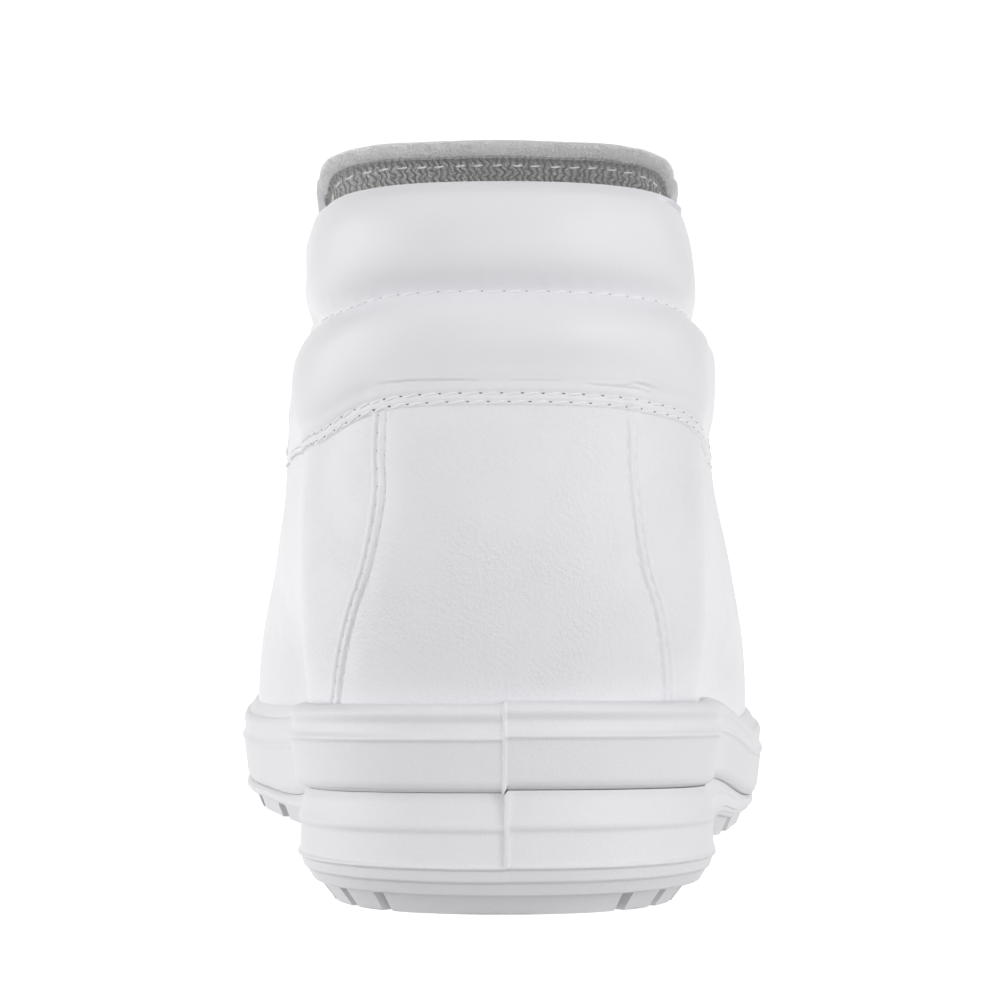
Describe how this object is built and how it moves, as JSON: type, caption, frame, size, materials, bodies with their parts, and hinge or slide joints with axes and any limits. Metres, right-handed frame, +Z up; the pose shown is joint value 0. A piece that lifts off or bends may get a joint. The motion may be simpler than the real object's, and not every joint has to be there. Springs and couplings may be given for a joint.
{
  "type": "slip-on work shoe",
  "caption": "White slip-on work shoe for the right foot: hollow upper with high tongue, padded rolled collar, heel counter, elastic gores, and a stepped sole with lugs.",
  "frame": {"origin": "middle of the sole's outline in plan, at floor level", "axes": "+Y from heel to toe, +Z up, -X the medial side"},
  "size_m": [0.1102, 0.2905, 0.1364],
  "materials": {
    "white_leather": "satin",
    "white_rubber": "satin",
    "elastic": "matte",
    "grey_textile": "matte"
  },
  "bodies": {
    "root": {"outsole": "white_rubber", "midsole": "white_rubber", "insole": "grey_textile", "upper": "white_leather", "collar": "white_leather", "heel_counter": "white_leather", "gore_medial": "elastic", "gore_lateral": "elastic"}
  },
  "joints": []
}
